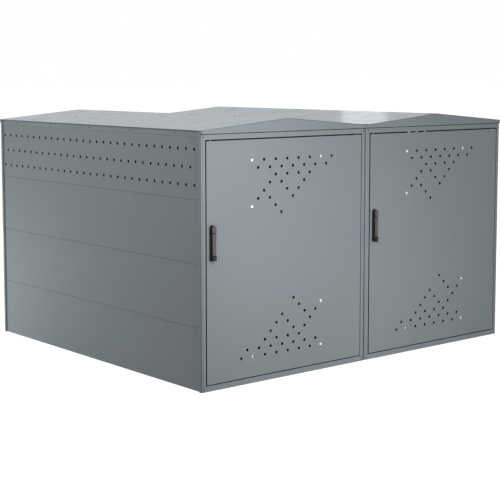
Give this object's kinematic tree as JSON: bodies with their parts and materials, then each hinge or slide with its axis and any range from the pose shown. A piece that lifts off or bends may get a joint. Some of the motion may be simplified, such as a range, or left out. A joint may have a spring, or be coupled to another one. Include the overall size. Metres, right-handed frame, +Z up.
{
  "type": "two-bay bicycle locker",
  "caption": "Lockable steel shed for parked bicycles: side-by-side bays with vented swing doors, lever locks and gabled roofs.",
  "frame": {"origin": "centre of the locker's footprint, on the ground", "axes": "+Z up, doors face -Y, +X to the right as seen from the doors"},
  "size_m": [2.309, 2.0625, 1.377],
  "materials": {
    "painted_sheet": "satin grey powder coat",
    "roof_sheet": "satin grey powder coat",
    "zinc_steel": "zinc plated",
    "white_sheet": "bright zinc sheet",
    "black_plastic": "fine grained black",
    "lever_plastic": "fine grained grey",
    "rubber": "black",
    "nylon": "natural nylon",
    "lock_metal": "dull dark nickel",
    "bright_screws": "bright stainless"
  },
  "bodies": {
    "locker": {"post_front_left_1": "painted_sheet", "post_front_right_1": "painted_sheet", "post_front_left_2": "painted_sheet", "post_front_right_2": "painted_sheet", "top_rail_1": "painted_sheet", "top_rail_2": "painted_sheet", "bottom_rail_1": "painted_sheet", "bottom_rail_2": "painted_sheet", "rear_frame_1": "painted_sheet", "rear_frame_2": "painted_sheet", "side_panel_left_1": "painted_sheet", "side_panel_left_2": "painted_sheet", "side_panel_left_3": "painted_sheet", "side_panel_left_4": "painted_sheet", "side_panel_right_1": "painted_sheet", "side_panel_right_2": "painted_sheet", "side_panel_right_3": "painted_sheet", "side_panel_right_4": "painted_sheet", "partition_wall": "painted_sheet", "rear_wall_1": "painted_sheet", "rear_wall_2": "painted_sheet", "roof_sheet_1": "roof_sheet", "roof_sheet_2": "roof_sheet", "front_fascia_1": "painted_sheet", "front_fascia_2": "painted_sheet", "rear_fascia_1": "painted_sheet", "rear_fascia_2": "painted_sheet", "valley_cap": "roof_sheet", "wheel_channel_1": "zinc_steel", "wheel_channel_2": "zinc_steel", "foot_plates": "zinc_steel", "hinge_bushes": "black_plastic", "wall_rivets": "painted_sheet", "roof_fasteners": "bright_screws", "door_buffers": "rubber", "gap_clips": "nylon"},
    "door_leaf_1": {"door_1": "painted_sheet", "door_stiffeners_1": "white_sheet", "stiffener_rivets_1": "painted_sheet", "hinge_pins_1": "zinc_steel", "handle_housing_1": "black_plastic", "rod_guides_1": "zinc_steel"},
    "hub_1": {"handle_hub_1": "lever_plastic", "lock_cam_1": "zinc_steel"},
    "lever_1": {"handle_lever_1": "lever_plastic"},
    "key_cylinder_1": {"lock_cylinder_1": "lock_metal"},
    "rod_up_1": {"upper_rod_1": "zinc_steel"},
    "rod_down_1": {"lower_rod_1": "zinc_steel"},
    "door_leaf_2": {"door_2": "painted_sheet", "door_stiffeners_2": "white_sheet", "stiffener_rivets_2": "painted_sheet", "hinge_pins_2": "zinc_steel", "handle_housing_2": "black_plastic", "rod_guides_2": "zinc_steel"},
    "hub_2": {"handle_hub_2": "lever_plastic", "lock_cam_2": "zinc_steel"},
    "lever_2": {"handle_lever_2": "lever_plastic"},
    "key_cylinder_2": {"lock_cylinder_2": "lock_metal"},
    "rod_up_2": {"upper_rod_2": "zinc_steel"},
    "rod_down_2": {"lower_rod_2": "zinc_steel"}
  },
  "joints": [
    {"name": "door_1_swing", "type": "hinge", "parent": "locker", "child": "door_leaf_1", "pos_m": [-0.0595, -1.001, 0.65], "axis": [0, 0, 1], "range_deg": [0, 110]},
    {"name": "handle_1_turn", "type": "hinge", "parent": "door_leaf_1", "child": "hub_1", "pos_m": [-1.0845, -1.013, 0.836], "axis": [0, -1, 0], "range_deg": [0, 90]},
    {"name": "lever_1_fold", "type": "hinge", "parent": "hub_1", "child": "lever_1", "pos_m": [-1.0845, -1.028, 0.816], "axis": [-1, 0, 0], "range_deg": [0, 40]},
    {"name": "key_1_turn", "type": "hinge", "parent": "door_leaf_1", "child": "key_cylinder_1", "pos_m": [-1.0845, -1.028, 0.6855], "axis": [0, -1, 0], "range_deg": [0, 90]},
    {"name": "upper_rod_1_slide", "type": "slide", "parent": "door_leaf_1", "child": "rod_up_1", "axis": [0, 0, -1], "range_m": [0, 0.018]},
    {"name": "lower_rod_1_slide", "type": "slide", "parent": "door_leaf_1", "child": "rod_down_1", "axis": [0, 0, 1], "range_m": [0, 0.018]},
    {"name": "door_2_swing", "type": "hinge", "parent": "locker", "child": "door_leaf_2", "pos_m": [1.0955, -1.001, 0.65], "axis": [0, 0, 1], "range_deg": [0, 110]},
    {"name": "handle_2_turn", "type": "hinge", "parent": "door_leaf_2", "child": "hub_2", "pos_m": [0.0705, -1.013, 0.836], "axis": [0, -1, 0], "range_deg": [0, 90]},
    {"name": "lever_2_fold", "type": "hinge", "parent": "hub_2", "child": "lever_2", "pos_m": [0.0705, -1.028, 0.816], "axis": [-1, 0, 0], "range_deg": [0, 40]},
    {"name": "key_2_turn", "type": "hinge", "parent": "door_leaf_2", "child": "key_cylinder_2", "pos_m": [0.0705, -1.028, 0.6855], "axis": [0, -1, 0], "range_deg": [0, 90]},
    {"name": "upper_rod_2_slide", "type": "slide", "parent": "door_leaf_2", "child": "rod_up_2", "axis": [0, 0, -1], "range_m": [0, 0.018]},
    {"name": "lower_rod_2_slide", "type": "slide", "parent": "door_leaf_2", "child": "rod_down_2", "axis": [0, 0, 1], "range_m": [0, 0.018]}
  ],
  "couplings": [
    {"joint": "upper_rod_1_slide", "follows": "handle_1_turn", "m_per_rad": 0.011459},
    {"joint": "lower_rod_1_slide", "follows": "handle_1_turn", "m_per_rad": 0.011459},
    {"joint": "upper_rod_2_slide", "follows": "handle_2_turn", "m_per_rad": 0.011459},
    {"joint": "lower_rod_2_slide", "follows": "handle_2_turn", "m_per_rad": 0.011459}
  ]
}
